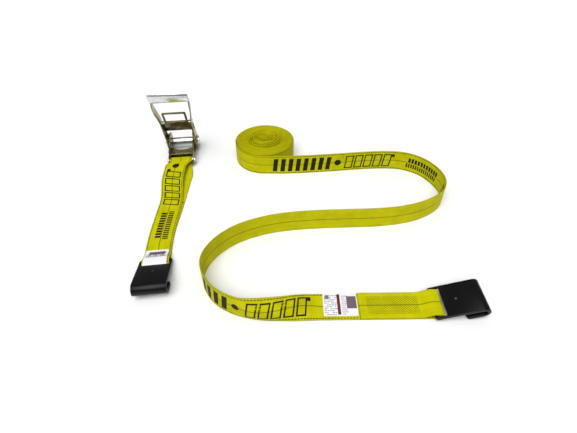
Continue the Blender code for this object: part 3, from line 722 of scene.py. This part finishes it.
def add_print(long_strap, roll_end, flat_start, short_strap, bar_reach):
    """Generic bars, dots and small rows on the printed faces, where the webbing carries print."""
    ink = printed("webbing_print", (0.016, 0.014, 0.004), (0.24, 0.23, 0.002), 0.02)
    bars = (PRINT_NEAR, PRINT_FAR, PRINT_SLANT)
    marks = Marks(long_strap, -WEB_THICK / 2 - INK_LIFT)
    end = solid_bars(marks, flat_start - 0.226, 4, 0.0178, *bars)
    marks.disc(end + 0.010, WEB_WIDTH / 2, 0.007)
    outlined_bars(marks, end + 0.026, 5, 0.0212, *bars)
    end = solid_bars(marks, roll_end + 0.020, 8, 0.0180, *bars)
    marks.disc(end + 0.012, WEB_WIDTH / 2, DOT_RADIUS)
    end = outlined_bars(marks, end + 0.028, 5, 0.0230, *bars)
    small_rows(marks, end + 0.030, end + 0.115, SMALL_NEAR, SMALL_FAR)
    small_rows(marks, end + 0.150, end + 0.190, SMALL_NEAR, SMALL_FAR)
    marks.finish("long_strap_print", ink, "long_strap", "webbing")
    marks = Marks(short_strap, SHORT_PRINT_SIDE * (WEB_THICK / 2 + INK_LIFT))
    small_rows(marks, bar_reach + 0.062, bar_reach + 0.142, SMALL_NEAR, SMALL_FAR)
    end = outlined_bars(marks, bar_reach + 0.165, 5, 0.0230, *bars)
    marks.disc(end + 0.012, WEB_WIDTH / 2, DOT_RADIUS)
    marks.finish("short_strap_print", ink, "short_strap", "webbing")


def long_label_print(long_strap, label_start, label_end, ink, red, block):
    """The label's print: rows of small grey bars, a dark red band, and a darker printed block."""
    lift = -WEB_THICK / 2 - GAP - LABEL_THICK - LABEL_INK_LIFT
    near, far = 0.0065, 0.0065 + LABEL_WIDTH
    width = label_end - label_start
    grey = Marks(long_strap, lift)
    for row in range(11):
        across = near + 0.0022 + row * 0.0036
        along = label_start + 0.0025
        step = 0
        while along < label_start + width * 0.36:
            length = 0.0020 + 0.0009 * ((row * 5 + step * 3) % 4)
            if (row + step * 2) % 5:
                grey.patch(along, along + length, across, across + 0.0013)
            along += length + 0.0011
            step += 1
    for row in range(10):
        across = near + 0.0030 + row * 0.0038
        length = 0.0060 + 0.0015 * ((row * 7) % 4)
        grey.patch(label_start + width * 0.55, label_start + width * 0.55 + length, across, across + 0.0011)
    grey.patch(label_start + 0.0040, label_start + 0.0110, far - 0.0110, far - 0.0030)
    grey.finish("long_label_text", ink, "long_strap", "label")
    band = Marks(long_strap, lift)
    band.patch(label_start + width * 0.42, label_start + width * 0.51, near + 0.0025, far - 0.0015)
    band.finish("long_label_band", red, "long_strap", "label")
    panel = Marks(long_strap, lift)
    panel.patch(label_start + width * 0.70, label_start + width * 0.985, near + 0.0140, far - 0.0055)
    panel.finish("long_label_panel", block, "long_strap", "label")


def short_label_print(short_strap, start, end, ink, block):
    """The short label's print: small grey bars nearest the hook, and a printed block above them."""
    lift = SHORT_PRINT_SIDE * (WEB_THICK / 2 + 3 * GAP + LABEL_THICK + 0.0003)
    near, far = 0.0042, WEB_WIDTH - 0.0028
    width = end - start
    grey = Marks(short_strap, lift)
    for row in range(9):
        across = near + 0.0030 + row * 0.0042
        length = width * (0.10 + 0.03 * ((row * 5) % 3))
        grey.patch(start + 0.0020, start + 0.0020 + length, across, across + 0.0026)
    for row in range(3):
        across = near + 0.0070 + row * 0.0120
        grey.patch(start + width * 0.30, start + width * 0.38, across, across + 0.0060)
    grey.finish("short_label_text", ink, "short_strap", "label")
    panel = Marks(short_strap, lift)
    panel.patch(start + width * 0.48, start + width * 0.92, near + 0.0060, far - 0.0070)
    panel.finish("short_label_panel", block, "short_strap", "label")


def add_labels(long_strap, flat_start, short_strap, bar_reach):
    """The two labels' cloth, and generic label print on them."""
    label = label_cloth()
    for node in ("long_strap_label", "short_strap_label"):
        mesh = frame["nodes"][node].data
        mesh.materials.clear()
        mesh.materials.append(label)
    ink = printed("label_ink", (0.16, 0.16, 0.19), (0.55, 0.55, 0.58), 0.10)
    red = printed("label_red", (0.13, 0.018, 0.014), (0.35, 0.20, 0.19), 0.02)
    block = printed("label_block", (0.14, 0.10, 0.13), (0.34, 0.30, 0.34), 0.06)
    long_label_print(long_strap, flat_start + 0.004, flat_start + 0.062, ink, red, block)
    short_label_print(short_strap, bar_reach + 0.001, bar_reach + 0.028, ink, block)


def add_stitching(long_strap, overlap_start, short_strap, join_start):
    """The sewn field that holds the long strap's eye, and the one across the short strap's join."""
    thread = printed("stitching", (0.060, 0.055, 0.003), (0.14, 0.13, 0.002), 0.02)
    field = Marks(long_strap, WEB_THICK / 2 + THREAD_LIFT)
    field.stitches(overlap_start + OVERLAP_LENGTH * 0.18, overlap_start + OVERLAP_LENGTH * 0.88,
                   0.0085, 0.0400, 0.0046, 0.0026, 0.0020)
    field.finish("long_strap_stitching", thread, "long_strap", "webbing")
    join = Marks(short_strap, SHORT_PRINT_SIDE * (WEB_THICK / 2 + THREAD_LIFT))
    join.stitches(join_start, join_start + 0.070, 0.0060, 0.0430, 0.0050, 0.0028, 0.0022)
    join.finish("short_strap_stitching", thread, "short_strap", "webbing")


def add_dimple(name, place, body):
    """A small pressed mark on a hook's upper face: a flat disc of lighter plating, a painted highlight for
    the light the dimple catches.
    """
    # painted highlight: lighter plating where the pressed dimple would catch the light
    painted_highlight = plated_steel("rubbed_" + name, (0.20, 0.20, 0.20), (0.08, 0.08, 0.08), 0.4)
    shape = bmesh.new()
    bmesh.ops.create_circle(shape, cap_ends=True, radius=0.0020, segments=20)
    shape.transform(place @ Matrix.Translation((0.038, 0.0, HOOK_HALF_THICK + 0.00005)))
    mesh = bpy.data.meshes.new(name)
    shape.to_mesh(mesh)
    shape.free()
    return add_piece(name, mesh, painted_highlight, body)


# ---------------------------------------------------------------- studio

def add_camera():
    """The camera looks along the layout's Y, from above its origin."""
    data = bpy.data.cameras.new("camera")
    data.sensor_width = 36
    data.lens = CAMERA_LENS
    camera = bpy.data.objects.new("camera", data)
    bpy.context.scene.collection.objects.link(camera)
    tilt = Matrix.Rotation(math.radians(90) - CAMERA_PITCH, 4, "X")
    camera.matrix_world = to_world() @ Matrix.Translation((0, 0, CAMERA_HEIGHT)) @ tilt
    bpy.context.scene.camera = camera


def add_backdrop():
    """A pale round wall behind the floor's horizon, which only the camera sees, so it lights nothing."""
    shape = bmesh.new()
    bmesh.ops.create_cone(shape, cap_ends=False, segments=96, radius1=BACKDROP_RADIUS,
                          radius2=BACKDROP_RADIUS, depth=BACKDROP_HEIGHT)
    mesh = bpy.data.meshes.new("backdrop")
    shape.to_mesh(mesh)
    shape.free()
    material = bpy.data.materials.new("backdrop_paper")
    material.use_nodes = True
    shader = material.node_tree.nodes["Principled BSDF"]
    shader.inputs["Base Color"].default_value = (0.0, 0.0, 0.0, 1.0)
    shader.inputs["Specular IOR Level"].default_value = 0.0
    shader.inputs["Emission Color"].default_value = (0.90, 0.90, 0.90, 1.0)
    shader.inputs["Emission Strength"].default_value = 1.0
    mesh.materials.append(material)
    wall = bpy.data.objects.new("backdrop", mesh)
    bpy.context.scene.collection.objects.link(wall)
    wall.visible_diffuse = False
    wall.visible_glossy = False
    wall.visible_shadow = False


def add_floor():
    """A wide white floor."""
    mesh = bpy.data.meshes.new("floor")
    reach = FLOOR_REACH
    corners = [(-reach, -reach, 0), (reach, -reach, 0), (reach, reach, 0), (-reach, reach, 0)]
    mesh.from_pydata(corners, [], [(0, 1, 2, 3)])
    mesh.materials.append(floor_paper())
    floor = bpy.data.objects.new("floor", mesh)
    bpy.context.scene.collection.objects.link(floor)


def add_key_light():
    """One wide, soft light from above and a little in front."""
    key = bpy.data.lights.new("key", "SUN")
    key.energy = 2.95
    key.angle = math.radians(55)
    lamp = bpy.data.objects.new("key", key)
    bpy.context.scene.collection.objects.link(lamp)
    toward = Vector((-0.18, -0.42, 0.89))
    lamp.matrix_world = toward.to_track_quat("Z", "Y").to_matrix().to_4x4()


def add_sky():
    """Soft light from all round, darker towards the horizon, so that the plating has dark reflections."""
    world = bpy.data.worlds.new("studio")
    bpy.context.scene.world = world
    world.use_nodes = True
    tree = world.node_tree
    background = tree.nodes["Background"]
    background.inputs["Strength"].default_value = 0.55
    direction = tree.nodes.new("ShaderNodeTexCoord").outputs["Generated"]
    split = tree.nodes.new("ShaderNodeSeparateXYZ")
    tree.links.new(direction, split.inputs[0])
    ramp = tree.nodes.new("ShaderNodeValToRGB")
    tree.links.new(split.outputs[2], ramp.inputs[0])
    ramp.color_ramp.elements[0].position = 0.05
    ramp.color_ramp.elements[0].color = (0.14, 0.14, 0.14, 1.0)
    ramp.color_ramp.elements[1].position = 0.75
    ramp.color_ramp.elements[1].color = (0.80, 0.80, 0.80, 1.0)
    tree.links.new(ramp.outputs[0], background.inputs["Color"])
    bpy.context.scene.view_settings.view_transform = "Standard"


# ---------------------------------------------------------------- pieces

def refined(node, material, body, bevel):
    """A CAD node's shape with softly rounded edges, standing for the node."""
    mesh = frame["nodes"][node].data.copy()
    mesh.materials.clear()
    shape = bmesh.new()
    shape.from_mesh(mesh)
    bmesh.ops.remove_doubles(shape, verts=shape.verts, dist=2e-6)
    bmesh.ops.dissolve_limit(shape, angle_limit=math.radians(0.8), verts=shape.verts, edges=shape.edges)
    shape.to_mesh(mesh)
    shape.free()
    obj = add_piece(node + "_finished", mesh, material, body)
    mesh.shade_smooth()
    rounding = obj.modifiers.new("rounded edges", "BEVEL")
    rounding.width = bevel
    rounding.segments = 2
    rounding.limit_method = "ANGLE"
    rounding.angle_limit = math.radians(40)
    rounding.harden_normals = True
    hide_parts(node)
    return obj


def dress_metal():
    """Every CAD node of metal gets its plating, and rounded edges where it is a pressed plate; the drive
    pawl gets a darker copy of the yellow zinc, as painted shade.
    """
    yellow = plated_steel("yellow_zinc_plate", (0.35, 0.305, 0.15), (0.17, 0.148, 0.065), 0.24)
    # painted shade: a darker copy of the yellow zinc for the drive pawl, whose upright face is out of the
    # light
    dark = plated_steel("painted_shade_pawl_plate", (0.16, 0.145, 0.09), (0.08, 0.074, 0.045), 0.24)
    bright = plated_steel("bright_zinc_plate", (0.78, 0.80, 0.80), (0.64, 0.66, 0.67), 0.22)
    steel = plated_steel("plated_fasteners", (0.56, 0.53, 0.42), (0.42, 0.39, 0.30), 0.32)
    black = black_coating()
    record = frame["record"]
    slots = {row["node"]: row["material_slot"] for row in record["subparts"]}
    bodies = {n: body for body, nodes in record["behaviour"]["bodies"].items() for n in nodes}
    finishes = {"yellow_zinc": yellow, "bright_zinc": bright, "plated_steel": steel, "black_coating": black}
    for node, slot in slots.items():
        if slot not in finishes:
            continue
        if "spring" in node:
            add_spring(node, finishes[slot], bodies[node])
        elif "sleeve" in node:
            mesh = frame["nodes"][node].data
            mesh.materials.clear()
            mesh.materials.append(finishes[slot])
            mesh.shade_smooth()
        else:
            # the drive pawl takes the painted-shade copy of the yellow zinc
            finish = dark if node == "drive_pawl" else finishes[slot]
            refined(node, finish, bodies[node], 0.0004)


def add_spring(node, material, body):
    """A pawl's spring, as a smooth-shaded copy of its CAD shape that stands for the node."""
    mesh = frame["nodes"][node].data.copy()
    mesh.materials.clear()
    obj = add_piece(node + "_finished", mesh, material, body)
    obj.matrix_world = frame["nodes"][node].matrix_world
    mesh.shade_smooth()
    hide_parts(node)
    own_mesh(obj)


def long_webbing():
    """The long strap as one piece of cloth, and how far along it the roll and the twist end."""
    stations, bows, roll_end, twist_end = long_strap_stations()
    strap = Strap(stations, bows)
    cloth = webbing()
    obj = add_piece("long_webbing", strap.mesh("long_webbing"), cloth, "long_strap")
    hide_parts("long_strap_run", "long_strap_roll")
    return strap, strap.reach[roll_end], strap.reach[twist_end], cloth


def short_webbing(cloth):
    """The short strap as one sewn loop of cloth."""
    strap = Strap(short_strap_stations())
    obj = add_piece("short_webbing", strap.mesh("short_webbing"), cloth, "short_strap")
    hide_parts("short_strap")
    return strap


add_camera()
add_floor()
add_key_light()
add_sky()
add_backdrop()
dress_metal()
long_strap, roll_end, flat_start, cloth = long_webbing()
short_strap = short_webbing(cloth)
short_length = smooth_route(SHORT_ROUTE, ROUTE_SPACING)[-1][2]
bar_reach = short_length - SHORT_JOIN + 2 * BAR_EYE_SLACK + math.pi * BAR_EYE_RADIUS
add_print(long_strap, roll_end, flat_start, short_strap, bar_reach)
add_labels(long_strap, flat_start, short_strap, bar_reach)
add_stitching(long_strap, long_strap.reach[-1] - OVERLAP_LENGTH, short_strap, short_strap.reach[-1] - 0.075)
add_dimple("long_hook_dimple", long_hook_frame(), "long_hook")
add_dimple("short_hook_dimple", short_hook_frame(), "short_hook")
